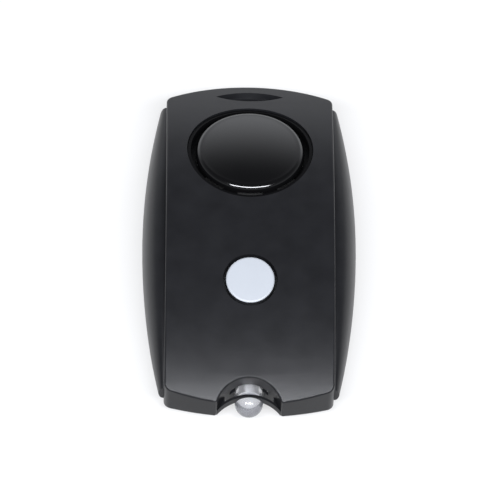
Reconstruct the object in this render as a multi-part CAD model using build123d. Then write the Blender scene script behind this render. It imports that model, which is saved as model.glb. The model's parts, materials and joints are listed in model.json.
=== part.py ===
from build123d import *
from math import asin, cos, degrees, radians, sin, sqrt
import os

# Personal safety alarm with a siren, a round push button and a small lamp.
# It lies on its back: +Z is the front face, -Y the lamp end, X runs across.
# Sizes are in millimetres. Places along Y are counted from the middle of the case, and at the
# end each piece moves by half the lamp's overhang, to put the origin under the alarm's middle.

# Case, outside
case_length = 66.9
panel_width = 30.0
case_thickness = 15.8
front_edge_height = 7.8
rear_edge_height = 3.2
rear_flat_share = 0.42
siren_end_sag = 3.9
lamp_end_sag = 2.4
case_corner_radius = 1.6
front_edge_radius = 0.4
rear_edge_radius = 0.4
case_wall = 1.5
front_skin = 1.5
cut_overrun = 2.0
face_clearance = 0.1

# Side grips
grip_reach = 4.1
grip_end_reach = 0.9
grip_lamp_inset = 3.6
grip_siren_inset = 4.5
grip_step = 2.5
grip_rear_step = 1.3
grip_corner_radius = 0.8
grip_station_count = 9
grip_widest_share = 0.38
grip_top_reach_share = 0.62
grip_side_rise_share = 0.5

# Lamp notch
notch_radius = 6.1
notch_centre_gap = 1.7
notch_wall = 1.2
notch_corner_radius = 0.45

# Thumb scoop
scoop_end_gap = 3.45
scoop_width = 12.2
scoop_height = 3.4
scoop_depth = 1.2
scoop_lift = 0.4
scoop_crease_shift = 1.15
scoop_crease_width = 9.4
scoop_crease_height = 0.5

# Siren, on its own tilted axis
siren_end_gap = 17.45
siren_ring_wall = 0.55
siren_sound_gap = 0.9
siren_floor_depth = 2.2
siren_floor = 0.6
siren_depth = 5.0
siren_slot_count = 8
siren_slot_width = 2.0
siren_slot_angle = 30.0
siren_ring_recess = 0.35
siren_cap_diameter = 19.5
siren_cap_rim_height = -0.2
siren_cap_crown = 0.7
siren_cap_thickness = 1.3
siren_cap_edge_radius = 1.0
siren_stem_diameter = 9.0
gasket_thickness = 0.5
gasket_width = 1.8
piezo_thickness = 0.25
ceramic_inset = 2.7
ceramic_thickness = 0.2
siren_back_wall = 0.9
siren_back_floor = 0.6
siren_back_step = 1.0

# Push button
button_end_gap = 21.5
button_diameter = 8.65
button_gap = 0.5
button_proud = 0.15
button_edge_radius = 0.4
button_flange = 0.8
button_flange_clearance = 0.15
button_travel = 0.5
button_skirt_wall = 1.0
button_skirt_gap = 1.4
plunger_gap = 0.05

# Circuit board
board_thickness = 0.8
board_edge_gap = 0.6
board_lamp_end_gap = 9.3
board_siren_end_gap = 25.3
board_screw_side_gap = 2.3
board_screw_siren_gap = 2.5
board_screw_lamp_gap = 11.5
board_post_diameter = 3.6
board_screw_diameter = 1.3
board_screw_head_diameter = 2.8
board_screw_head = 0.9
board_screw_grip = 3.0
board_screw_clearance = 0.15

# Tactile switch
switch_size = 4.5
switch_height = 1.8
switch_plunger_diameter = 2.4
switch_plunger_height = 0.75
switch_plunger_sunk = 0.7
switch_bore_clearance = 0.05

# Parts on the board
chip_width = 5.0
chip_depth = 3.9
chip_height = 1.4
chip_leg_count = 4
chip_leg_pitch = 1.27
chip_leg_width = 0.45
chip_leg_reach = 0.8
chip_leg_thickness = 0.25
coil_diameter = 6.6
coil_height = 5.2
coil_flange = 0.8
coil_winding_diameter = 5.4
coil_side_gap = 6.6
part_row_gap = 7.4
capacitor_diameter = 5.0
capacitor_height = 5.3
capacitor_side_gap = 6.6
capacitor_base = 0.8
capacitor_base_size = 5.2
transistor_width = 2.9
transistor_depth = 1.4
transistor_height = 1.1
transistor_side_gap = 5.7
resistor_length = 1.6
resistor_width = 0.8
resistor_height = 0.5
resistor_count = 5
resistor_pitch = 1.7
resistor_side_gap = 4.7

# Batteries and their cover
cell_diameter = 20.0
cell_thickness = 3.2
cell_edge_radius = 0.4
cell_gap = 0.05
cell_floor_gap = 0.1
well_clearance = 0.3
well_wall = 1.0
well_height = 6.6
cover_seat_width = 1.2
cover_thickness = 1.3
cover_gap = 0.15
cover_spigot_gap = 0.2
cover_spigot_height = 0.75
cover_slot_length = 11.0
cover_slot_width = 1.8
cover_slot_depth = 0.7
cover_edge_radius = 0.3
cover_lug_count = 3
cover_lug_reach = 0.55
cover_lug_height = 0.4
cover_lug_width = 3.4
cover_lug_lift = 0.3
cover_turn = 30.0
cover_lug_gap = 0.08
rear_plate = 1.6
contact_rise = 0.5
contact_thickness = 0.3
contact_length = 12.0
contact_width = 4.0
contact_dimple_diameter = 3.0
clip_width = 5.0
clip_bottom = 3.4
clip_foot = 2.4
clip_gap = 0.04

# Lamp
lamp_diameter = 5.0
lamp_axis_height = 4.8
lamp_dome_inset = 2.0
lamp_body_length = 5.1
lamp_flange_diameter = 5.8
lamp_flange = 1.0
lamp_hole_gap = 0.1
lamp_cup_diameter = 2.2
lamp_cup_length = 1.2
lamp_cup_hollow = 0.6
lamp_cup_wall = 0.3
lamp_cup_setback = 2.6
lamp_lead_spacing = 2.54
lamp_lead_size = 0.5
lamp_lead_run = 2.7
lamp_lead_bend = 0.8
lamp_lead_stub = 0.6
lamp_lead_hole = 0.9

# Bar over the lamp, and the cord passage behind it
bridge_gap = 2.2
bridge_plan_radius = 16.0
bridge_arch_radius = 6.4
bridge_thickness = 0.5
bridge_height = 1.4
bridge_crown_gap = 0.35
bridge_slot_half_width = 4.3
passage_half_width = 3.4
passage_arch_radius = 7.0
passage_wall = 0.5
passage_sill = 0.6
passage_window_height = 1.2

# Case screws
case_screw_side_gap = 4.5
case_screw_siren_gap = 7.8
case_screw_lamp_gap = 9.3
case_boss_diameter = 4.4
case_screw_diameter = 1.9
case_screw_bore_gap = 0.05
case_screw_head_diameter = 3.5
case_screw_head = 1.0
case_screw_length = 5.0
case_screw_head_gap = 0.15
case_pad_diameter = 5.0
case_pad_height = 1.0
screw_slot_width = 0.6
screw_slot_depth = 0.4

# Siren wires
wire_diameter = 0.5
wire_spacing = 3.0
wire_drop = 1.3
wire_board_gap = 0.6
wire_solder_run = 1.6
wire_bend = 0.6
wire_bore_diameter = 1.2

# Worked out from the sizes above
half_length = case_length / 2
half_panel = panel_width / 2
half_overall = half_panel + grip_reach
arch_rise = case_thickness - front_edge_height
front_arch_radius = (half_length**2 + arch_rise**2) / (2 * arch_rise)
arch_centre_height = case_thickness - front_arch_radius
rear_flat_length = case_length * rear_flat_share
rear_run = half_length - rear_flat_length / 2
rear_bend_radius = (rear_run**2 + rear_edge_height**2) / (2 * rear_edge_height)
grip_half_length = half_length - grip_lamp_inset
grip_sag = grip_reach - grip_end_reach
grip_plan_radius = (grip_half_length**2 + grip_sag**2) / (2 * grip_sag)
notch_centre = -half_length - notch_centre_gap
notch_apex = notch_centre + notch_radius
scoop_centre = half_length - scoop_end_gap
siren_centre = half_length - siren_end_gap
siren_bore = siren_cap_diameter + 2 * siren_sound_gap
siren_ring_diameter = siren_bore + 2 * siren_ring_wall
siren_hole_diameter = siren_ring_diameter + 2 * face_clearance
siren_slot_outer = siren_bore / 2 - siren_sound_gap
piezo_diameter = siren_ring_diameter - 2 * siren_back_wall - 2 * face_clearance
button_centre = -half_length + button_end_gap
cell_floor = cover_thickness + cover_spigot_height + cell_floor_gap
cell_step = cell_thickness + cell_gap
board_bottom = cell_floor + cell_step + cell_thickness + contact_rise
board_top = board_bottom + board_thickness
button_skirt_floor = board_top + button_skirt_gap
board_half_width = half_panel - case_wall - board_edge_gap
board_lamp_end = -half_length + board_lamp_end_gap
board_siren_end = half_length - board_siren_end_gap
board_screw_x = half_panel - case_wall - board_screw_side_gap
board_screw_y_siren = board_siren_end - board_screw_siren_gap
board_screw_y_lamp = board_lamp_end + board_screw_lamp_gap
chip_y = (button_centre + switch_size / 2 + board_siren_end) / 2
part_row_y = board_lamp_end + part_row_gap
coil_x = -half_panel + case_wall + coil_side_gap
capacitor_x = half_panel - case_wall - capacitor_side_gap
transistor_x = board_half_width - transistor_side_gap
resistor_x = -board_half_width + resistor_side_gap
resistor_y = chip_y - (resistor_count - 1) / 2 * resistor_pitch
well_bore = cell_diameter + 2 * well_clearance
cover_diameter = well_bore + 2 * cover_seat_width
cover_spigot_diameter = well_bore - 2 * cover_spigot_gap
lamp_dome_centre = -half_length + lamp_dome_inset
lamp_base = lamp_dome_centre + lamp_body_length
lead_place = lamp_base + lamp_flange + lamp_lead_run
lamp_overhang = lamp_diameter / 2 - lamp_dome_centre - half_length
bridge_top = lamp_axis_height + lamp_diameter / 2 + bridge_crown_gap
passage_top = lamp_axis_height + lamp_diameter / 2 + lamp_hole_gap
passage_end = lamp_base - passage_wall
case_screw_x = half_panel - case_screw_side_gap
case_screw_y_siren = half_length - case_screw_siren_gap
case_screw_y_lamp = -half_length + case_screw_lamp_gap
case_screw_places = [
    (side * case_screw_x, y) for side in (-1, 1) for y in (case_screw_y_siren, case_screw_y_lamp)
]
board_screw_places = [
    (side * board_screw_x, y) for side in (-1, 1) for y in (board_screw_y_siren, board_screw_y_lamp)
]


def front_height(y):
    """Height of the front face at a place along the alarm."""
    return arch_centre_height + sqrt(front_arch_radius**2 - y**2)


def rear_height(y):
    """Height of the rear face, flat in the middle and rising to both ends."""
    past_flat = max(0, abs(y) - rear_flat_length / 2)
    return rear_bend_radius - sqrt(rear_bend_radius**2 - past_flat**2)


def rod(diameter, bottom, top, x=0, y=0):
    """An upright round bar between two heights."""
    return Pos(x, y, bottom) * Cylinder(
        diameter / 2, top - bottom, align=(Align.CENTER, Align.CENTER, Align.MIN)
    )


def block(width, depth, bottom, top, x=0, y=0):
    """An upright rectangular bar between two heights."""
    return Pos(x, y, bottom) * Box(
        width, depth, top - bottom, align=(Align.CENTER, Align.CENTER, Align.MIN)
    )


def lying_rod(diameter, y_start, y_end, height, x=0):
    """A round bar along Y between two places."""
    plane = Plane(origin=(x, y_start, height), x_dir=(1, 0, 0), z_dir=(0, 1, 0))
    return plane * Cylinder(diameter / 2, y_end - y_start, align=(Align.CENTER, Align.CENTER, Align.MIN))


def plan_face(inset):
    """The panel outline seen from the front, with arched ends, moved inwards by the inset."""
    side = half_panel - inset
    top = half_length - inset
    outline = (
        ThreePointArc((-side, -top + lamp_end_sag), (0, -top), (side, -top + lamp_end_sag))
        + Line((side, -top + lamp_end_sag), (side, top - siren_end_sag))
        + ThreePointArc((side, top - siren_end_sag), (0, top), (-side, top - siren_end_sag))
        + Line((-side, top - siren_end_sag), (-side, -top + lamp_end_sag))
    )
    face = make_face(outline)
    return fillet(face.vertices(), max(case_corner_radius - inset / 2, case_corner_radius / 3))


def side_face(front_inset, rear_inset):
    """The outline seen from the side: arched front, flat rear that bends up at both ends."""
    flat_half = rear_flat_length / 2
    bend = rear_bend_radius - rear_inset
    front = Pos(0, arch_centre_height) * Circle(front_arch_radius - front_inset)
    flat = Pos(0, rear_inset) * Rectangle(
        rear_flat_length, case_thickness + cut_overrun, align=(Align.CENTER, Align.MIN)
    )
    ends = [Pos(side * flat_half, rear_bend_radius) * Circle(bend) for side in (-1, 1)]
    return front & (flat + ends[0] + ends[1])


def case_block(side_inset, front_inset, rear_inset):
    """The solid inside the case outline, moved inwards on its sides, front and rear."""
    plan = Pos(0, 0, -cut_overrun) * extrude(plan_face(side_inset), case_thickness + 2 * cut_overrun)
    reach = half_panel + cut_overrun
    lengthways = Plane(origin=(-reach, 0, 0), x_dir=(0, 1, 0), z_dir=(1, 0, 0))
    return plan & extrude(lengthways * side_face(front_inset, rear_inset), 2 * reach)


def notch_tool(radius):
    """The round bar that cuts the lamp notch, or a wider one round its wall."""
    return rod(2 * radius, -cut_overrun, case_thickness + cut_overrun, y=notch_centre)


def passage_tool(margin):
    """The arched chamber behind the lamp window, open at the rear, made wider by the margin."""
    start = notch_centre
    end = passage_end + margin
    width = 2 * (passage_half_width + margin)
    middle = (start + end) / 2
    room = block(width, end - start, -cut_overrun, passage_top + margin, y=middle)
    return room & lying_rod(
        2 * (passage_arch_radius + margin), start, end, passage_top - passage_arch_radius
    )


def passage_cut():
    """The chamber and its arched window, with the sill that stays below the window."""
    chamber = passage_tool(0) - notch_tool(notch_radius + passage_sill)
    start = notch_centre - cut_overrun
    low_arch = passage_top - passage_window_height - passage_arch_radius
    window = passage_tool(0) - lying_rod(2 * passage_arch_radius, start, passage_end, low_arch)
    return chamber + window


siren_tilt = degrees(asin(siren_centre / front_arch_radius))
siren_plane = Plane(
    origin=(0, siren_centre, front_height(siren_centre)),
    x_dir=(1, 0, 0),
    z_dir=(0, sin(radians(siren_tilt)), cos(radians(siren_tilt))),
)


def siren_rod(diameter, low, high):
    """A round bar on the siren axis between two depths below the front face."""
    return siren_plane * rod(diameter, low, high)


def siren_tube(outer, inner, low, high):
    """A round tube on the siren axis."""
    return siren_rod(outer, low, high) - siren_rod(inner, low - cut_overrun, high + cut_overrun)


def scoop_tool():
    """The eye-shaped scoop near the siren end, deepest along a crease in its upper part."""
    tilt = asin(scoop_centre / front_arch_radius)
    plane = Plane(
        origin=(0, scoop_centre, front_height(scoop_centre)),
        x_dir=(1, 0, 0),
        z_dir=(0, sin(tilt), cos(tilt)),
    )

    def eye(width, height, shift, level):
        half = width / 2
        upper = ThreePointArc((-half, shift), (0, shift + height / 2), (half, shift))
        lower = ThreePointArc((half, shift), (0, shift - height / 2), (-half, shift))
        return plane * Pos(0, 0, level) * make_face(upper + lower)

    growth = 1 + scoop_lift / scoop_depth * (1 - scoop_crease_width / scoop_width)
    wide = eye(scoop_width * growth, scoop_height * growth, 0, scoop_lift)
    crease = eye(scoop_crease_width, scoop_crease_height, scoop_crease_shift, -scoop_depth)
    return loft([wide, crease])


def case_outside():
    """The whole case as one solid, notched, with its corners and edges rounded."""
    outer = case_block(0, 0, 0) - notch_tool(notch_radius)
    lip = notch_radius + notch_corner_radius

    def at_notch(edge):
        middle = edge.center()
        return abs(middle.X) < lip and middle.Y < notch_apex

    outer = fillet(outer.edges().filter_by(Axis.Z).filter_by(at_notch), notch_corner_radius)
    outer = fillet(outer.faces().sort_by(Axis.Z)[-1].edges(), front_edge_radius)
    flat_end = rear_flat_length / 2
    seam_reach = (half_length - flat_end) / 2

    def round_the_rear(edge):
        middle = edge.center()
        seam = abs(middle.X) < half_panel / 2 and abs(abs(middle.Y) - flat_end) < seam_reach
        return not seam and not at_notch(edge)

    rear = [face for face in outer.faces() if face.normal_at().Z < -half_length / case_length]
    rims = ShapeList([edge for face in rear for edge in face.edges()]).filter_by(round_the_rear)
    return fillet(rims, rear_edge_radius)


def front_cover():
    """The deep front shell, with its notch wall, screw bosses and board posts."""
    outer = case_outside()
    room = case_block(case_wall, front_skin, -cut_overrun) - notch_tool(notch_radius + notch_wall)
    shell = outer - (room - passage_tool(passage_wall)) - passage_cut()
    for x, y in case_screw_places:
        foot = rear_height(y) + rear_plate + case_pad_height
        boss = rod(case_boss_diameter, foot, case_thickness, x, y) & outer
        bore = rod(case_screw_diameter + 2 * case_screw_bore_gap, 0, foot + case_screw_length, x, y)
        shell = shell + boss - bore
    for x, y in board_screw_places:
        post = rod(board_post_diameter, board_top, case_thickness, x, y) & outer
        bore_top = board_top + board_screw_grip
        bore = rod(board_screw_diameter + 2 * case_screw_bore_gap, board_bottom, bore_top, x, y)
        shell = shell + post - bore
    shell -= siren_rod(siren_hole_diameter, -siren_depth, siren_depth)
    shell -= rod(button_diameter + 2 * button_gap, board_top, case_thickness + cut_overrun, y=button_centre)
    lamp_hole = lamp_diameter + 2 * lamp_hole_gap
    shell -= lying_rod(lamp_hole, notch_centre, lamp_base + cut_overrun, lamp_axis_height)
    return shell - scoop_tool()


def rear_cover():
    """The rear plate that drops into the front shell, with the battery well and screw pads."""
    inset = case_wall + face_clearance
    plate = case_block(inset, 0, 0) - case_block(-cut_overrun, -cut_overrun, rear_plate)
    plate += rod(well_bore + 2 * well_wall, rear_plate / 2, well_height)
    plate += rod(cover_diameter + 2 * well_wall, rear_plate / 2, cell_floor + cover_lug_height)
    plate -= notch_tool(notch_radius + notch_wall + face_clearance)
    plate -= passage_tool(passage_wall + face_clearance)
    plate -= rod(cover_diameter + 2 * cover_gap, -cut_overrun, cover_thickness)
    plate -= rod(well_bore, cover_thickness / 2, well_height + cut_overrun)
    lug_bottom = cover_thickness + cover_lug_lift
    lug_room = cover_lug_height + 2 * cover_lug_gap
    groove = well_bore + 2 * cover_lug_reach
    plate -= rod(groove, lug_bottom - cover_lug_gap, lug_bottom - cover_lug_gap + lug_room)
    for turn in range(cover_lug_count):
        angle = turn * 360 / cover_lug_count + cover_turn
        gate = block(cover_lug_width + 2 * cover_gap, groove, cover_thickness / 2, lug_bottom)
        half = block(groove, groove, -cut_overrun, case_thickness, y=groove / 2)
        plate -= Rot(0, 0, angle) * (gate & rod(groove, 0, case_thickness) & half)
    plate -= block(
        clip_foot + cut_overrun, clip_width + 2 * clip_gap, clip_bottom, well_height + cut_overrun,
        x=cell_diameter / 2 + clip_foot / 2 + cut_overrun / 2 - well_clearance,
    )
    for x, y in case_screw_places:
        rise = rear_height(y)
        pad = rod(case_pad_diameter, rise + rear_plate / 2, rise + rear_plate + case_pad_height, x, y)
        head_bore = rod(
            case_screw_head_diameter + 2 * case_screw_head_gap,
            -cut_overrun, rise + case_screw_head + case_screw_head_gap, x, y,
        )
        bore = rod(case_screw_diameter + 2 * case_screw_bore_gap, 0, case_thickness, x, y)
        plate = plate + pad - head_bore - bore
    lamp_room = lamp_flange_diameter + 2 * lamp_hole_gap
    lamp_end = lamp_base + lamp_flange + lamp_hole_gap
    return plate - lying_rod(lamp_room, notch_centre, lamp_end, lamp_axis_height)


def grip_section(y):
    """The outline across the side grip: flat against the case, rounded outside."""
    bulge = grip_plan_radius - sqrt(grip_plan_radius**2 - y**2)
    outer = half_overall - bulge
    reach = outer - half_panel
    top = front_height(y) - grip_step
    bottom = rear_height(y) + grip_rear_step
    widest = bottom + grip_widest_share * (top - bottom)
    corner_x = half_panel + grip_top_reach_share * reach
    rise = grip_side_rise_share
    upper = Bezier(
        (half_panel, y, top), (corner_x, y, top),
        (outer, y, widest + rise * (top - widest)), (outer, y, widest),
    )
    lower = Bezier(
        (outer, y, widest), (outer, y, widest + rise * (bottom - widest)),
        (corner_x, y, bottom), (half_panel, y, bottom),
    )
    return make_face(upper + lower + Line((half_panel, y, bottom), (half_panel, y, top)))


def right_grip():
    """The bulging side grip on the +X side."""
    reach = grip_half_length + cut_overrun
    step = 2 * reach / (grip_station_count - 1)
    body = loft([grip_section(-reach + step * count) for count in range(grip_station_count)])
    bulge = half_overall + face_clearance
    ends = (-grip_half_length, half_length - grip_siren_inset)
    low, high = [(bulge - grip_plan_radius + sqrt(grip_plan_radius**2 - y**2), y) for y in ends]
    outline = (
        ThreePointArc(low, (bulge, 0), high)
        + Line(high, (0, ends[1]))
        + Line((0, ends[1]), (0, ends[0]))
        + Line((0, ends[0]), low)
    )
    plan = make_face(outline)
    corners = plan.vertices().filter_by(lambda corner: corner.X > half_panel)
    plan = fillet(corners, grip_corner_radius)
    return body & extrude(plan, case_thickness)


def siren_ring():
    """The gloss ring that lines the siren hole, with sound slots in its floor."""
    low = -siren_floor_depth - siren_floor
    ring = siren_rod(siren_ring_diameter, low, siren_depth) & case_block(0, siren_ring_recess, 0)
    ring -= siren_rod(siren_bore, -siren_floor_depth, siren_depth)
    slot_inner = siren_slot_outer - siren_slot_width
    middle = (siren_slot_outer + slot_inner) / 2
    for count in range(siren_slot_count):
        turn = count * 360 / siren_slot_count
        arc = siren_tube(2 * siren_slot_outer, 2 * slot_inner, low - siren_floor, 0)
        wedge_half = middle * sin(radians(siren_slot_angle / 2))
        wedge = Pos(middle, 0, 0) * block(2 * siren_slot_width, 2 * wedge_half, -siren_depth, 0)
        ring -= arc & (siren_plane * Rot(0, 0, turn) * wedge)
    return ring


def siren_cap():
    """The domed gloss cap over the siren, on a short stem."""
    radius = siren_cap_diameter / 2
    low = siren_cap_rim_height - siren_cap_thickness
    rim = siren_cap_rim_height
    dome = (radius**2 + siren_cap_crown**2) / (2 * siren_cap_crown)
    half_rise = dome - sqrt(dome**2 - radius**2 / 4)
    crown = ThreePointArc(
        (radius, 0, rim), (radius / 2, 0, rim + siren_cap_crown - half_rise), (0, 0, rim + siren_cap_crown)
    )
    outline = make_face(
        crown
        + Line((0, 0, rim + siren_cap_crown), (0, 0, low))
        + Line((0, 0, low), (radius, 0, low))
        + Line((radius, 0, low), (radius, 0, rim))
    )
    corner = outline.vertices().sort_by(Axis.X)[-2:].sort_by(Axis.Z)[-1]
    disc = revolve(fillet(corner, siren_cap_edge_radius), Axis.Z)
    return siren_plane * (disc + rod(siren_stem_diameter, -siren_floor_depth, low))


def siren_gasket():
    """The foam ring between the siren floor and the sounder disc."""
    high = -siren_floor_depth - siren_floor
    return siren_tube(piezo_diameter, piezo_diameter - 2 * gasket_width, high - gasket_thickness, high)


def piezo_plate():
    """The brass sounder disc."""
    high = -siren_floor_depth - siren_floor - gasket_thickness
    return siren_rod(piezo_diameter, high - piezo_thickness, high)


def piezo_ceramic():
    """The ceramic layer under the brass disc."""
    high = -siren_floor_depth - siren_floor - gasket_thickness - piezo_thickness
    return siren_rod(piezo_diameter - 2 * ceramic_inset, high - ceramic_thickness, high)


def siren_back():
    """The cup that closes the siren from behind and holds the sounder disc."""
    high = -siren_floor_depth - siren_floor
    seat = high - gasket_thickness - piezo_thickness
    cup = siren_rod(siren_ring_diameter, -siren_depth, high)
    cup -= siren_rod(piezo_diameter + 2 * face_clearance, seat, 0)
    cup -= siren_rod(piezo_diameter - 2 * siren_back_step, -siren_depth + siren_back_floor, 0)
    for side in (-1, 1):
        bore = rod(wire_bore_diameter, -siren_depth - cut_overrun, 0, side * wire_spacing / 2)
        cup -= siren_plane * bore
    return cup


def siren_wires():
    """The two wires from the sounder to the top of the board, one solid each."""
    sounder = -siren_floor_depth - siren_floor - gasket_thickness - piezo_thickness - ceramic_thickness
    lift = board_top + wire_diameter / 2
    wires = []
    for side in (-1, 1):
        x = side * wire_spacing / 2
        start = siren_plane.from_local_coords(Vector(x, 0, sounder))
        drop = siren_plane.from_local_coords(Vector(x, 0, -siren_depth - wire_drop))
        path = FilletPolyline(
            start, drop, (x, board_siren_end + wire_board_gap, lift),
            (x, board_siren_end - wire_solder_run, lift), radius=wire_bend,
        )
        mouth = Plane(origin=start, x_dir=(1, 0, 0), z_dir=drop - start)
        wires.append(sweep(mouth * Circle(wire_diameter / 2), path=path))
    return Compound(wires)


def light_button():
    """The round push button, shaped to the arch, with a flange that stops it inside."""
    flange_diameter = button_diameter + 2 * (button_gap + button_flange)
    face = rod(button_diameter, button_skirt_floor, case_thickness + cut_overrun, y=button_centre)
    face &= case_block(0, -button_proud, 0)
    rim = face.faces().sort_by(Axis.Z)[-1].edges()
    face = fillet(rim, button_edge_radius)
    flange = rod(flange_diameter, button_skirt_floor, case_thickness, y=button_centre)
    flange &= case_block(0, front_skin + button_flange_clearance, 0)
    pocket_top = board_top + switch_height + switch_plunger_height + plunger_gap
    pocket = rod(button_diameter - 2 * button_skirt_wall, 0, pocket_top, y=button_centre)
    return face + flange - pocket


def switch_body():
    """The square tactile switch under the button."""
    bore = switch_plunger_diameter + 2 * switch_bore_clearance
    top = board_top + switch_height
    body = block(switch_size, switch_size, board_top, top, y=button_centre)
    depth = switch_plunger_sunk + button_travel + plunger_gap
    return body - rod(bore, top - depth, top + cut_overrun, y=button_centre)


def switch_plunger():
    """The round plunger of the tactile switch."""
    top = board_top + switch_height
    low = top - switch_plunger_sunk
    return rod(switch_plunger_diameter, low, top + switch_plunger_height, y=button_centre)


def circuit_board():
    """The board, cleared round the case bosses, with holes for its screws and the lamp leads."""
    length = board_siren_end - board_lamp_end
    middle = (board_siren_end + board_lamp_end) / 2
    board = block(2 * board_half_width, length, board_bottom, board_top, y=middle)
    for x, y in case_screw_places:
        board -= rod(case_boss_diameter + 2 * board_edge_gap, 0, case_thickness, x, y)
    for x, y in board_screw_places:
        board -= rod(board_screw_diameter + 2 * board_screw_clearance, 0, case_thickness, x, y)
    for side in (-1, 1):
        board -= rod(lamp_lead_hole, 0, case_thickness, side * lamp_lead_spacing / 2, lead_place)
    return board


def control_chip():
    """The control chip with its legs."""
    lift = chip_leg_thickness
    chip = block(chip_width, chip_depth, board_top + lift, board_top + chip_height, y=chip_y)
    span = chip_depth + 2 * chip_leg_reach
    for count in range(chip_leg_count):
        x = (count - (chip_leg_count - 1) / 2) * chip_leg_pitch
        chip += block(chip_leg_width, span, board_top, board_top + 2 * lift, x=x, y=chip_y)
    return chip


def boost_coil():
    """The drum-wound coil that drives the siren, hung under the board."""
    bottom = board_bottom - coil_height
    coil = rod(coil_diameter, bottom, bottom + coil_flange, coil_x, part_row_y)
    coil += rod(coil_diameter, board_bottom - coil_flange, board_bottom, coil_x, part_row_y)
    return coil + rod(coil_winding_diameter, bottom, board_bottom, coil_x, part_row_y)


def capacitor():
    """The can capacitor on its square base, hung under the board."""
    bottom = board_bottom - capacitor_height
    can = rod(capacitor_diameter, bottom, board_bottom, capacitor_x, part_row_y)
    can = fillet(can.edges().sort_by(Axis.Z)[0], capacitor_diameter / 10)
    side = capacitor_base_size
    return can + block(side, side, board_bottom - capacitor_base, board_bottom, capacitor_x, part_row_y)


def drive_transistor():
    """The small transistor that drives the coil."""
    body = block(
        transistor_width, transistor_depth, board_top, board_top + transistor_height,
        transistor_x, chip_y,
    )
    leg = block(
        chip_leg_width, transistor_depth + 2 * chip_leg_reach, board_top, board_top + chip_leg_thickness,
        transistor_x, chip_y,
    )
    shift = transistor_width / 2 - chip_leg_width
    return body + Pos(-shift, 0, 0) * leg + Pos(shift, 0, 0) * leg


def chip_resistors():
    """A row of small resistors, one solid each."""
    row = []
    for count in range(resistor_count):
        y = resistor_y + count * resistor_pitch
        top = board_top + resistor_height
        row.append(block(resistor_length, resistor_width, board_top, top, resistor_x, y))
    return Compound(row)


def battery_cell(bottom):
    """One coin cell with rounded edges."""
    cell = rod(cell_diameter, bottom, bottom + cell_thickness)
    return fillet(cell.edges().filter_by(GeomType.CIRCLE), cell_edge_radius)


def battery_cover():
    """The round rear cover with a coin slot and three locking lugs."""
    cover = rod(cover_diameter, 0, cover_thickness)
    cover = fillet(cover.edges().filter_by(GeomType.CIRCLE).sort_by(Axis.Z)[0], cover_edge_radius)
    cover += rod(cover_spigot_diameter, cover_thickness, cover_thickness + cover_spigot_height)
    groove = well_bore + 2 * cover_lug_reach
    lug_bottom = cover_thickness + cover_lug_lift
    ring = rod(groove - 2 * cover_lug_gap, lug_bottom, lug_bottom + cover_lug_height)
    for turn in range(cover_lug_count):
        lug = block(cover_lug_width, groove, lug_bottom, lug_bottom + cover_lug_height, y=groove / 2)
        cover += Rot(0, 0, turn * 360 / cover_lug_count) * (ring & lug)
    return cover - block(cover_slot_length, cover_slot_width, -cut_overrun, cover_slot_depth)


def battery_contact():
    """The leaf under the board that presses on the upper cell."""
    cells_top = board_bottom - contact_rise
    leaf = block(contact_length, contact_width, board_bottom - contact_thickness, board_bottom)
    return leaf + rod(contact_dimple_diameter, cells_top, board_bottom)


def side_clip():
    """The clip that touches the rim of the cells and rises to the board."""
    inner = cell_diameter / 2 + clip_gap
    upright = block(
        contact_thickness, clip_width, clip_bottom, board_bottom, x=inner + contact_thickness / 2
    )
    foot = block(
        clip_foot, clip_width, board_bottom - contact_thickness, board_bottom, x=inner + clip_foot / 2
    )
    return upright + foot


def lamp_cup():
    """The reflector cup and post inside the lamp."""
    start = lamp_dome_centre + lamp_cup_setback
    cup = lying_rod(lamp_cup_diameter, start - lamp_cup_length, lamp_base + lamp_flange, lamp_axis_height)
    hollow_top = start - lamp_cup_length
    hollow = lying_rod(
        lamp_cup_diameter - 2 * lamp_cup_wall,
        hollow_top, hollow_top + lamp_cup_hollow, lamp_axis_height,
    )
    return cup - hollow


def lamp_lens():
    """The clear lamp body with its round nose and rear flange."""
    tip = Pos(0, lamp_dome_centre, lamp_axis_height) * Sphere(lamp_diameter / 2)
    body = tip + lying_rod(lamp_diameter, lamp_dome_centre, lamp_base, lamp_axis_height)
    body += lying_rod(lamp_flange_diameter, lamp_base, lamp_base + lamp_flange, lamp_axis_height)
    start = lamp_dome_centre + lamp_cup_setback
    room = lying_rod(
        lamp_cup_diameter, start - lamp_cup_length, lamp_base + lamp_flange, lamp_axis_height
    )
    return body - room


def lamp_leads():
    """The two lamp leads, bent up into the board, one solid each."""
    back = lamp_base + lamp_flange
    leads = []
    for side in (-1, 1):
        x = side * lamp_lead_spacing / 2
        path = FilletPolyline(
            (x, back, lamp_axis_height), (x, lead_place, lamp_axis_height),
            (x, lead_place, board_top + lamp_lead_stub), radius=lamp_lead_bend,
        )
        start = Plane(origin=(x, back, lamp_axis_height), x_dir=(1, 0, 0), z_dir=(0, 1, 0))
        leads.append(sweep(start * Rectangle(lamp_lead_size, lamp_lead_size), path=path))
    return Compound(leads)


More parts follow.
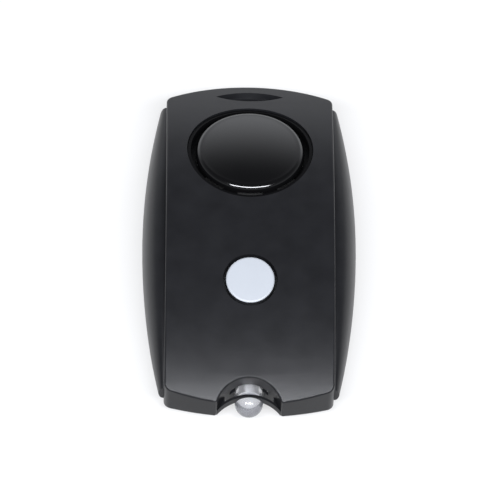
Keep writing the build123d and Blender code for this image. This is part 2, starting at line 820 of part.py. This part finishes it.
def lamp_bridge():
    """The bar across the notch, arched over the lamp, with a slot behind it and solid ends."""
    centre = notch_apex - bridge_gap - bridge_plan_radius
    front = rod(2 * (bridge_plan_radius - bridge_thickness), 0, case_thickness, y=centre)
    slot = block(2 * bridge_slot_half_width, 2 * notch_radius, 0, case_thickness, y=notch_centre)
    slot -= rod(2 * bridge_plan_radius, -cut_overrun, case_thickness + cut_overrun, y=centre)
    arch_height = bridge_top - bridge_arch_radius
    arch = lying_rod(2 * bridge_arch_radius, notch_centre, notch_apex, arch_height)
    arch -= Pos(0, 0, -bridge_height) * lying_rod(
        2 * bridge_arch_radius, notch_centre - cut_overrun, notch_apex + cut_overrun, arch_height
    )
    bar = arch & notch_tool(notch_radius) & case_block(face_clearance, 0, 0)
    bar = bar - front - slot
    hole = lamp_diameter + 2 * lamp_hole_gap
    return bar - lying_rod(hole, notch_centre - notch_radius, notch_apex, lamp_axis_height)


def case_screws():
    """The four case screws, entered from the rear."""
    screws = []
    for x, y in case_screw_places:
        rise = rear_height(y) + case_screw_head_gap
        top = rise + case_screw_head
        head = rod(case_screw_head_diameter, rise, top, x, y)
        shank = rod(case_screw_diameter, rise, top + case_screw_length, x, y)
        slot = block(case_screw_head_diameter, screw_slot_width, 0, rise + screw_slot_depth, x, y)
        cross = block(screw_slot_width, case_screw_head_diameter, 0, rise + screw_slot_depth, x, y)
        screws.append(head + shank - slot - cross)
    return Compound(screws)


def board_screws():
    """The four small screws that hold the board to its posts."""
    screws = []
    for x, y in board_screw_places:
        low = board_bottom - board_screw_head
        head = rod(board_screw_head_diameter, low, board_bottom, x, y)
        shank = rod(board_screw_diameter, low, board_top + board_screw_grip - face_clearance, x, y)
        slot = block(board_screw_head_diameter, screw_slot_width, 0, low + screw_slot_depth, x, y)
        screws.append(head + shank - slot)
    return Compound(screws)


grip = right_grip()
nodes = {
    "front_cover": front_cover(),
    "rear_cover": rear_cover(),
    "right_grip": grip,
    "left_grip": mirror(grip, Plane.YZ),
    "siren_ring": siren_ring(),
    "siren_cap": siren_cap(),
    "siren_gasket": siren_gasket(),
    "piezo_plate": piezo_plate(),
    "piezo_ceramic": piezo_ceramic(),
    "siren_back": siren_back(),
    "siren_wires": siren_wires(),
    "light_button": light_button(),
    "switch_body": switch_body(),
    "switch_plunger": switch_plunger(),
    "circuit_board": circuit_board(),
    "control_chip": control_chip(),
    "boost_coil": boost_coil(),
    "capacitor": capacitor(),
    "drive_transistor": drive_transistor(),
    "chip_resistors": chip_resistors(),
    "battery_lower": battery_cell(cell_floor),
    "battery_upper": battery_cell(cell_floor + cell_step),
    "battery_cover": battery_cover(),
    "battery_contact": battery_contact(),
    "side_clip": side_clip(),
    "lamp_lens": lamp_lens(),
    "lamp_cup": lamp_cup(),
    "lamp_leads": lamp_leads(),
    "lamp_bridge": lamp_bridge(),
    "case_screws": case_screws(),
    "board_screws": board_screws(),
}

os.makedirs("parts", exist_ok=True)
for name, solid in nodes.items():
    solid = Pos(0, lamp_overhang / 2, 0) * solid
    export_step(solid, f"parts/{name}.step")
    box = solid.bounding_box()
    print(name, [round(v, 2) for v in (*box.min, *box.max)], round(solid.volume, 2))
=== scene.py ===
import json
from math import cos, pi, radians, sin, sqrt

import bpy
from mathutils import Matrix, Vector


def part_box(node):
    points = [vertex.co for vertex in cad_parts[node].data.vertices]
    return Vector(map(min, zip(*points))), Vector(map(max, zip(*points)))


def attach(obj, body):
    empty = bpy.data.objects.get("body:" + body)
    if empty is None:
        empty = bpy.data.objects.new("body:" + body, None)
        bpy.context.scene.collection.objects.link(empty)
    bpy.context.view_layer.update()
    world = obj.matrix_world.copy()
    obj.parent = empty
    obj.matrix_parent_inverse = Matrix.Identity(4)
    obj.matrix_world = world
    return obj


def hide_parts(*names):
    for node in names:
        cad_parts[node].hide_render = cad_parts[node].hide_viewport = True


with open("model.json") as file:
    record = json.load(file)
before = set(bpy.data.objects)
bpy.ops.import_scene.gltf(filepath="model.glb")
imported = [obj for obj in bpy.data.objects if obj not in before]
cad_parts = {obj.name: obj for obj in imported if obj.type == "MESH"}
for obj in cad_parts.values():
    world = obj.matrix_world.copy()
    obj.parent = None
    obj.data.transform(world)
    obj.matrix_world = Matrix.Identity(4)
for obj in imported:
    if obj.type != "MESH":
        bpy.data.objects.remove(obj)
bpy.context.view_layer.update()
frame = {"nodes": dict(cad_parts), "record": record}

# The looks of a personal safety alarm. Everything is in metres, in the frame of the CAD model.
MM = 0.001
WHITE = (1.0, 1.0, 1.0, 1.0)

# The mix node has sockets of the same name for each kind of value; these are its colour ones
COLOR_A = 6
COLOR_B = 7
COLOR_RESULT = 2

# Camera: the photograph's frame is 500 by 500 pixels. Angles are in degrees
FRAME_PIXELS = 500
PIXELS_PER_MM = 5.6
CAMERA_DISTANCE = 0.96
CAMERA_ELEVATION = 58.0
CAMERA_SIDE_TILT = -1.5
CAMERA_CLIP = 10 * MM
SENSOR_WIDTH = 36.0
AIM_HEIGHT = 7.8 * MM
AIM_PIXEL = (249.3, 243.0)
BATTERY_COVER_RADIUS = 11.5 * MM

# Siren cap, from its sizes in the CAD model. Its crown is 0.02 mm lower, to stay inside the CAD box
CAP_RADIUS = 9.75 * MM
CAP_RIM_HEIGHT = -0.2 * MM
CAP_CROWN = 0.68 * MM
CAP_EDGE_RADIUS = 1.0 * MM
CAP_THICKNESS = 1.3 * MM
CAP_STEM_RADIUS = 4.5 * MM
CAP_STEM_FOOT = -2.2 * MM
SOUNDER_DEPTH = 3.425 * MM

# Lamp, from its sizes in the CAD model
LAMP_RADIUS = 2.5 * MM
LAMP_BODY_LENGTH = 5.1 * MM
LAMP_FLANGE_RADIUS = 2.9 * MM
LAMP_FLANGE = 1.0 * MM

# Fineness of the turned meshes
SHARP_ANGLE = 35.0
TURN_STEPS = 128
CROWN_RINGS = 16
EDGE_RINGS = 16
NOSE_RINGS = 48

# Light
LIGHT_COLOR = (0.965, 0.985, 1.03)
FLOOR_REACH = 6.0
FLOOR_COLOR = 0.25
FLOOR_GLOW = 0.59
SIDE_HORIZON_LIGHT = 0.38
BACK_HORIZON_LIGHT = 1.55
OVERHEAD_LIGHT = 0.04
SIDE_GRADIENT = (0.1, 0.8)
BACK_GRADIENT = (0.27, 0.7)
BACK_SPREAD = (0.5, 0.95)
SOFTBOX_ANGLE = 30.5
SOFTBOX_DISTANCE = 1.5
SOFTBOX_SIZE = (1.8, 0.34)
SOFTBOX_POWER = 56.0

# Uneven tone and gloss, in all solid materials
TONE_SPREAD = 0.15
GLOSS_SPREAD = 0.1
CLOUD_SIZE = 4 * MM
CLOUD_DETAIL = 3.0
GRAIN_DETAIL = 2.0

# The button's painted shade: beyond a radius that lies on the rounding of its edge, its flange is painted
# nearly black, as the shade in the gap round the button
GAP_SHADE_RADIUS = 4.27 * MM
GAP_SHADE_EDGE = 0.03 * MM
GAP_SHADE_SHARE = 0.05
BUTTON_CENTRE = (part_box("light_button")[0].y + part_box("light_button")[1].y) / 2

# Clear epoxy; the fade from its base, painted bright as a highlight, to its greyer nose is given along Y
EPOXY_INDEX = 1.53
EPOXY_CLEARNESS = 0.87
EPOXY_HIGHLIGHT_FADE = (-31.2 * MM, -30.4 * MM)
EPOXY_FLOW_SIZE = 1.5 * MM
EPOXY_FLOW_DEPTH = 0.001 * MM

# Circuit board
TRACK_CELL = 6 * MM
TRACK_WIDTH = 0.07
TRACK_DEPTH = 0.02 * MM
SECOND_CELL_SHADE = 0.85

# Colours and grains that several materials share
BLACK = (0.0100, 0.0102, 0.0115)
INK = (0.003, 0.003, 0.0033)
ROLLED = (0.08 * MM, 2.5 * MM, 0.08 * MM)
DRAWN = (0.06 * MM, 0.06 * MM, 1.5 * MM)


def make_camera():
    """Look down at the lamp end, with the case centre on its pixel of the photograph."""
    elevation = radians(CAMERA_ELEVATION)
    turn = Matrix.Rotation(radians(CAMERA_SIDE_TILT), 3, "Y")
    toward = turn @ Vector((0, -cos(elevation), sin(elevation)))
    up = turn @ Vector((0, sin(elevation), cos(elevation)))
    right = up.cross(toward)
    pixel = MM / PIXELS_PER_MM
    case_middle = Vector((0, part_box("battery_cover")[0].y + BATTERY_COVER_RADIUS, AIM_HEIGHT))
    aim = case_middle - right * (AIM_PIXEL[0] - FRAME_PIXELS / 2) * pixel
    aim += up * (AIM_PIXEL[1] - FRAME_PIXELS / 2) * pixel
    data = bpy.data.cameras.new("camera")
    data.sensor_width = SENSOR_WIDTH
    data.lens = SENSOR_WIDTH * CAMERA_DISTANCE / (FRAME_PIXELS * pixel)
    data.clip_start = CAMERA_CLIP
    camera = bpy.data.objects.new("camera", data)
    bpy.context.collection.objects.link(camera)
    place = Matrix((right, up, toward)).transposed().to_4x4()
    place.translation = aim + toward * CAMERA_DISTANCE
    camera.matrix_world = place
    bpy.context.scene.camera = camera


class Nodes:
    """A small helper that builds a node tree."""

    def __init__(self, owner):
        owner.use_nodes = True
        self.tree = owner.node_tree
        self.tree.nodes.clear()

    def add(self, kind, **values):
        """A new node; each value sets a property, or else the socket of that name."""
        node = self.tree.nodes.new(kind)
        for name, value in values.items():
            if hasattr(node, name):
                setattr(node, name, value)
            else:
                node.inputs[name.replace("_", " ")].default_value = value
        return node

    def link(self, start, end):
        self.tree.links.new(start, end)

    def show(self, kind, socket):
        """Send a socket to the surface input of a new output node."""
        self.link(socket, self.add(kind).inputs["Surface"])


def level(nodes, value, low, high):
    """A value from 0 to 1, moved between two levels."""
    ramp = nodes.add("ShaderNodeMapRange", To_Min=low, To_Max=high)
    nodes.link(value, ramp.inputs["Value"])
    return ramp.outputs["Result"]


def fade(nodes, value, limits, levels):
    """A smooth change between two levels while the value crosses its limits."""
    ramp = nodes.add("ShaderNodeMapRange", interpolation_type="SMOOTHSTEP")
    ramp.inputs["From Min"].default_value, ramp.inputs["From Max"].default_value = limits
    ramp.inputs["To Min"].default_value, ramp.inputs["To Max"].default_value = levels
    nodes.link(value, ramp.inputs["Value"])
    return ramp.outputs["Result"]


def noise(nodes, place, size, detail):
    """Soft noise with lumps of a given size."""
    texture = nodes.add("ShaderNodeTexNoise", Scale=1 / size, Detail=detail)
    nodes.link(place, texture.inputs["Vector"])
    return texture.outputs["Fac"]


def bumped(nodes, height, depth):
    """The normal of a surface that is raised by a height from 0 to 1."""
    bump = nodes.add("ShaderNodeBump", Strength=1.0, Distance=depth)
    nodes.link(height, bump.inputs["Height"])
    return bump.outputs["Normal"]


def grain_normal(nodes, place, grain, depth):
    """The normal of a fine grain, given as the size of one grain along X, Y and Z."""
    stretch = nodes.add("ShaderNodeMapping")
    stretch.inputs["Scale"].default_value = [1 / size for size in grain]
    nodes.link(place, stretch.inputs["Vector"])
    return bumped(nodes, noise(nodes, stretch.outputs["Vector"], 1.0, GRAIN_DETAIL), depth)


def painted_shade_outside(nodes, place, color, centre_y, radius):
    """The same colour, but painted nearly black as shade beyond a radius from an upright axis."""
    flat = nodes.add("ShaderNodeVectorMath", operation="MULTIPLY_ADD")
    flat.inputs[1].default_value = (1, 1, 0)
    flat.inputs[2].default_value = (0, -centre_y, 0)
    length = nodes.add("ShaderNodeVectorMath", operation="LENGTH")
    dim = nodes.add("ShaderNodeVectorMath", operation="SCALE")
    nodes.link(place, flat.inputs[0])
    nodes.link(flat.outputs["Vector"], length.inputs[0])
    share = fade(nodes, length.outputs["Value"], (radius, radius + GAP_SHADE_EDGE), (1.0, GAP_SHADE_SHARE))
    nodes.link(color, dim.inputs[0])
    nodes.link(share, dim.inputs["Scale"])
    return dim.outputs["Vector"]


def surface(name, color, roughness, grain, depth, **extra):
    """A solid surface: fine grain, uneven gloss and slight changes of tone.

    grain is the size of one grain along X, Y and Z, so long grains make brushed or rolled metal.
    Painted shade, given as the place of its axis along Y and its inner radius, makes the colour nearly black
    beyond that radius.
    """
    spread = extra.get("spread", TONE_SPREAD)
    material = bpy.data.materials.new(name)
    nodes = Nodes(material)
    shader = nodes.add("ShaderNodeBsdfPrincipled", Metallic=extra.get("metallic", 0.0))
    shader.inputs["Specular IOR Level"].default_value = extra.get("specular", 0.5)
    place = nodes.add("ShaderNodeTexCoord").outputs["Object"]
    cloud = noise(nodes, place, CLOUD_SIZE, CLOUD_DETAIL)
    paint = nodes.add("ShaderNodeVectorMath", operation="SCALE")
    paint.inputs[0].default_value = color
    nodes.link(level(nodes, cloud, 1 - spread, 1 + spread), paint.inputs["Scale"])
    tinted = paint.outputs["Vector"]
    # Painted shade for a shaded gap: nearly black beyond a radius
    if "collar" in extra:
        tinted = painted_shade_outside(nodes, place, tinted, *extra["collar"])
    gloss = level(nodes, cloud, roughness * (1 - GLOSS_SPREAD), roughness * (1 + GLOSS_SPREAD))
    nodes.link(tinted, shader.inputs["Base Color"])
    nodes.link(gloss, shader.inputs["Roughness"])
    nodes.link(grain_normal(nodes, place, grain, depth), shader.inputs["Normal"])
    nodes.show("ShaderNodeOutputMaterial", shader.outputs["BSDF"])
    return material


def plastic(name, color, roughness, grain, depth, **extra):
    """Moulded plastic with a round, even grain of one size."""
    return surface(name, color, roughness, (grain, grain, grain), depth, **extra)


def metal(name, color, roughness, grain, depth, **extra):
    """Bare or plated metal with drawn or rolled grain."""
    return surface(name, color, roughness, grain, depth, metallic=1.0, **extra)


def clear_plastic(name, nose_tint, base_highlight_tint, roughness):
    """Clear cast epoxy with faint flow marks, greyer in its nose, with a painted highlight that makes it
    bright round its base.
    """
    material = bpy.data.materials.new(name)
    nodes = Nodes(material)
    shader = nodes.add("ShaderNodeBsdfPrincipled", IOR=EPOXY_INDEX)
    shader.inputs["Transmission Weight"].default_value = EPOXY_CLEARNESS
    place = nodes.add("ShaderNodeTexCoord").outputs["Object"]
    split = nodes.add("ShaderNodeSeparateXYZ")
    nodes.link(place, split.inputs["Vector"])
    # The base's bright colour is a painted highlight; the nose keeps a grey tint
    tint = nodes.add("ShaderNodeMix", data_type="RGBA")
    tint.inputs[COLOR_A].default_value = (*nose_tint, 1)
    tint.inputs[COLOR_B].default_value = (*base_highlight_tint, 1)
    nodes.link(fade(nodes, split.outputs["Y"], EPOXY_HIGHLIGHT_FADE, (0.0, 1.0)), tint.inputs["Factor"])
    flow = noise(nodes, place, EPOXY_FLOW_SIZE, GRAIN_DETAIL)
    nodes.link(tint.outputs[COLOR_RESULT], shader.inputs["Base Color"])
    nodes.link(level(nodes, flow, roughness / 2, roughness * 2), shader.inputs["Roughness"])
    nodes.link(bumped(nodes, flow, EPOXY_FLOW_DEPTH), shader.inputs["Normal"])
    nodes.show("ShaderNodeOutputMaterial", shader.outputs["BSDF"])
    return material


def board_mask(name, mask, track, roughness):
    """Green solder mask over raised copper tracks."""
    material = bpy.data.materials.new(name)
    nodes = Nodes(material)
    shader = nodes.add("ShaderNodeBsdfPrincipled", Roughness=roughness)
    place = nodes.add("ShaderNodeTexCoord").outputs["Object"]
    lines = nodes.add("ShaderNodeTexBrick", Scale=1 / TRACK_CELL, Mortar_Size=TRACK_WIDTH)
    lines.inputs["Color1"].default_value = (*mask, 1)
    lines.inputs["Color2"].default_value = (*[value * SECOND_CELL_SHADE for value in mask], 1)
    lines.inputs["Mortar"].default_value = (*track, 1)
    nodes.link(place, lines.inputs["Vector"])
    nodes.link(lines.outputs["Color"], shader.inputs["Base Color"])
    nodes.link(bumped(nodes, lines.outputs["Fac"], TRACK_DEPTH), shader.inputs["Normal"])
    nodes.show("ShaderNodeOutputMaterial", shader.outputs["BSDF"])
    return material


# Each row: name, colour, roughness, size of a grain, depth of the grain
MATERIALS = {
    "case": plastic("case_plastic", BLACK, 0.30, 0.14 * MM, 0.010 * MM, spread=0.3, specular=0.22),
    "grip": plastic("grip_plastic", BLACK, 0.34, 0.11 * MM, 0.002 * MM, spread=0.3, specular=0.22),
    "gloss_black": plastic("ring_plastic", INK, 0.35, 0.3 * MM, 0.001 * MM, specular=0.06),
    # The button's flange and edge rounding carry painted shade, for the shaded gap round the button
    "white": plastic(
        "button_plastic", (0.352, 0.372, 0.402), 0.38, 0.15 * MM, 0.002 * MM,
        spread=0.02, collar=(BUTTON_CENTRE, GAP_SHADE_RADIUS),
    ),
    "switch_black": plastic("switch_nylon", (0.012, 0.012, 0.012), 0.5, 0.1 * MM, 0.004 * MM),
    "foam": plastic("closed_foam", (0.01, 0.01, 0.01), 0.9, 0.25 * MM, 0.12 * MM, spread=0.3),
    "ceramic": plastic("silvered_ceramic", (0.62, 0.6, 0.54), 0.45, 0.05 * MM, 0.003 * MM),
    "chip": plastic("moulded_epoxy", (0.014, 0.014, 0.015), 0.6, 0.06 * MM, 0.006 * MM),
    "ferrite": plastic("pressed_ferrite", (0.035, 0.032, 0.032), 0.5, 0.12 * MM, 0.02 * MM),
    "wire": plastic("wire_skin", (0.35, 0.008, 0.008), 0.4, 0.2 * MM, 0.004 * MM),
    "brass": metal("rolled_brass", (0.75, 0.53, 0.22), 0.3, ROLLED, 0.002 * MM),
    "can": metal("drawn_can", (0.8, 0.8, 0.82), 0.28, DRAWN, 0.002 * MM),
    "cell": metal("nickel_plate", (0.7, 0.69, 0.66), 0.3, ROLLED, 0.002 * MM, spread=0.1),
    "spring_steel": metal("spring_steel", (0.66, 0.65, 0.62), 0.32, ROLLED, 0.002 * MM),
    "lead_metal": metal("tinned_metal", (0.82, 0.82, 0.84), 0.45, DRAWN, 0.002 * MM),
    "screw": metal("blackened_steel", (0.09, 0.09, 0.095), 0.4, DRAWN, 0.004 * MM, spread=0.3),
}
CAP_GLOSS = plastic("cap_gloss", INK, 0.11, 0.3 * MM, 0.0003 * MM, specular=0.68)

# Name, colour of the mask and of its tracks, roughness
MATERIALS["board"] = board_mask("solder_mask", (0.01, 0.11, 0.035), (0.05, 0.25, 0.08), 0.35)

# Name, tint of the nose, colour of the base with its painted highlight, roughness
MATERIALS["clear"] = clear_plastic("clear_epoxy", (0.66, 0.67, 0.71), (0.97, 0.97, 0.99), 0.11)


def dress_nodes():
    """Give every carried-over node its material."""
    slots = {item["node"]: item["material_slot"] for item in frame["record"]["subparts"]}
    for name, obj in frame["nodes"].items():
        obj.data.materials.clear()
        obj.data.materials.append(MATERIALS[slots[name]])


def face_normal(name):
    """The direction that a flat node's largest face looks in, on its upper side."""
    faces = [face for face in frame["nodes"][name].data.polygons if face.normal.z > 0]
    return max(faces, key=lambda face: face.area).normal.copy()


def cap_profile():
    """Radius and height of the cap's outline, from its crown round the edge and down to its foot."""
    dome = (CAP_RADIUS**2 + CAP_CROWN**2) / (2 * CAP_CROWN)
    inner = CAP_RADIUS - CAP_EDGE_RADIUS
    top = CAP_RIM_HEIGHT + CAP_CROWN
    points = []
    for count in range(CROWN_RINGS + 1):
        radius = inner * count / CROWN_RINGS
        points.append((radius, top - dome + sqrt(dome**2 - radius**2)))
    edge_height = points[-1][1]
    for count in range(1, EDGE_RINGS + 1):
        angle = pi / 2 * count / EDGE_RINGS
        drop = CAP_EDGE_RADIUS * (1 - cos(angle))
        points.append((inner + CAP_EDGE_RADIUS * sin(angle), edge_height - drop))
    under = CAP_RIM_HEIGHT - CAP_THICKNESS
    return points + [(CAP_RADIUS, under), (CAP_STEM_RADIUS, under), (CAP_STEM_RADIUS, CAP_STEM_FOOT)]


def turned_points(profile, origin, axis):
    """The points of a turned mesh: one on the axis, a ring for each step of the profile, one on the axis."""
    along = Vector((1, 0, 0))
    across = axis.cross(along)
    points = [origin + axis * profile[0][1]]
    for radius, height in profile[1:]:
        for count in range(TURN_STEPS):
            angle = 2 * pi * count / TURN_STEPS
            spoke = along * cos(angle) + across * sin(angle)
            points.append(origin + axis * height + spoke * radius)
    points.append(origin + axis * profile[-1][1])
    return points


def turned_faces(rings, last):
    """The faces between the rings of a turned mesh, and the two fans that close it."""
    faces = []
    for count in range(TURN_STEPS):
        following = (count + 1) % TURN_STEPS
        faces.append((0, 1 + count, 1 + following))
        for ring in range(rings - 1):
            start = 1 + ring * TURN_STEPS
            below = start + TURN_STEPS
            faces.append((start + count, below + count, below + following, start + following))
        start = 1 + (rings - 1) * TURN_STEPS
        faces.append((start + count, last, start + following))
    return faces


def make_turned(node, material, profile, origin, axis):
    """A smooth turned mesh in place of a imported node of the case; its profile starts on the axis."""
    name = node + "_smooth"
    points = turned_points(profile, origin, axis)
    mesh = bpy.data.meshes.new(name)
    mesh.from_pydata(points, [], turned_faces(len(profile) - 1, len(points) - 1))
    mesh.shade_smooth()
    mesh.set_sharp_from_angle(angle=radians(SHARP_ANGLE))
    mesh.materials.append(material)
    piece = bpy.data.objects.new(name, mesh)
    bpy.context.collection.objects.link(piece)
    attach(piece, "case")
    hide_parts(node)


def make_cap():
    """The siren cap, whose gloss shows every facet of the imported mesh."""
    low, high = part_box("piezo_plate")
    axis = face_normal("piezo_plate")
    origin = (low + high) / 2 + axis * SOUNDER_DEPTH
    make_turned("siren_cap", CAP_GLOSS, cap_profile(), origin, axis)


def make_lens():
    """The lamp body with its round nose, along -Y from its flange."""
    low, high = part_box("lamp_lens")
    origin = Vector((0, low.y + LAMP_RADIUS, (low.z + high.z) / 2))
    angles = [pi / 2 * count / NOSE_RINGS for count in range(NOSE_RINGS + 1)]
    nose = [(LAMP_RADIUS * sin(angle), LAMP_RADIUS * cos(angle)) for angle in angles]
    flange_end = -LAMP_BODY_LENGTH - LAMP_FLANGE
    flange = [(LAMP_FLANGE_RADIUS, -LAMP_BODY_LENGTH), (LAMP_FLANGE_RADIUS, flange_end)]
    profile = nose + [(LAMP_RADIUS, -LAMP_BODY_LENGTH)] + flange
    make_turned("lamp_lens", MATERIALS["clear"], profile, origin, Vector((0, -1, 0)))


def make_world():
    """A studio that is darker overhead, with a bright wall low behind the siren end."""
    world = bpy.data.worlds.new("studio")
    bpy.context.scene.world = world
    nodes = Nodes(world)
    sky = nodes.add("ShaderNodeBackground", Strength=1.0)
    split = nodes.add("ShaderNodeSeparateXYZ")
    nodes.link(nodes.add("ShaderNodeTexCoord").outputs["Generated"], split.inputs["Vector"])
    height = split.outputs["Z"]
    both = nodes.add("ShaderNodeMix", data_type="FLOAT")
    nodes.link(fade(nodes, split.outputs["Y"], BACK_SPREAD, (0.0, 1.0)), both.inputs["Factor"])
    nodes.link(fade(nodes, height, SIDE_GRADIENT, (SIDE_HORIZON_LIGHT, OVERHEAD_LIGHT)), both.inputs["A"])
    nodes.link(fade(nodes, height, BACK_GRADIENT, (BACK_HORIZON_LIGHT, OVERHEAD_LIGHT)), both.inputs["B"])
    tint = nodes.add("ShaderNodeVectorMath", operation="SCALE")
    tint.inputs[0].default_value = LIGHT_COLOR
    nodes.link(both.outputs["Result"], tint.inputs["Scale"])
    nodes.link(tint.outputs["Vector"], sky.inputs["Color"])
    nodes.show("ShaderNodeOutputWorld", sky.outputs["Background"])


def floor_material():
    """Matte grey that keeps the shadow, and a glow that makes it white to the eye and in gloss."""
    material = bpy.data.materials.new("floor_white")
    nodes = Nodes(material)
    matte = nodes.add("ShaderNodeBsdfDiffuse", Color=(FLOOR_COLOR, FLOOR_COLOR, FLOOR_COLOR, 1))
    glow = nodes.add("ShaderNodeEmission", Color=WHITE)
    path = nodes.add("ShaderNodeLightPath")
    seen = path.outputs["Is Camera Ray"]
    for ray in ("Is Glossy Ray", "Is Transmission Ray"):
        either = nodes.add("ShaderNodeMath", operation="MAXIMUM")
        nodes.link(seen, either.inputs[0])
        nodes.link(path.outputs[ray], either.inputs[1])
        seen = either.outputs[0]
    power = nodes.add("ShaderNodeMath", operation="MULTIPLY")
    power.inputs[1].default_value = FLOOR_GLOW
    total = nodes.add("ShaderNodeAddShader")
    nodes.link(seen, power.inputs[0])
    nodes.link(power.outputs[0], glow.inputs["Strength"])
    nodes.link(matte.outputs["BSDF"], total.inputs[0])
    nodes.link(glow.outputs["Emission"], total.inputs[1])
    nodes.show("ShaderNodeOutputMaterial", total.outputs["Shader"])
    return material


def make_floor():
    """A plain floor that looks white and keeps a soft shadow."""
    mesh = bpy.data.meshes.new("floor")
    corners = [(x * FLOOR_REACH, y * FLOOR_REACH, 0) for x, y in ((-1, -1), (1, -1), (1, 1), (-1, 1))]
    mesh.from_pydata(corners, [], [(0, 1, 2, 3)])
    floor = bpy.data.objects.new("floor", mesh)
    bpy.context.collection.objects.link(floor)
    mesh.materials.append(floor_material())


def make_softbox():
    """A soft light that faces the alarm, tilted from straight above towards the lamp end."""
    data = bpy.data.lights.new("softbox", "AREA")
    data.shape = "RECTANGLE"
    data.size, data.size_y = SOFTBOX_SIZE
    data.energy = SOFTBOX_POWER
    data.color = LIGHT_COLOR
    light = bpy.data.objects.new("softbox", data)
    bpy.context.collection.objects.link(light)
    direction = Vector((0, -sin(radians(SOFTBOX_ANGLE)), cos(radians(SOFTBOX_ANGLE))))
    light.location = direction * SOFTBOX_DISTANCE
    light.rotation_euler = direction.to_track_quat("Z", "Y").to_euler()


make_camera()
dress_nodes()
make_cap()
make_lens()
make_world()
make_floor()
make_softbox()

bpy.context.scene.view_settings.view_transform = "Standard"
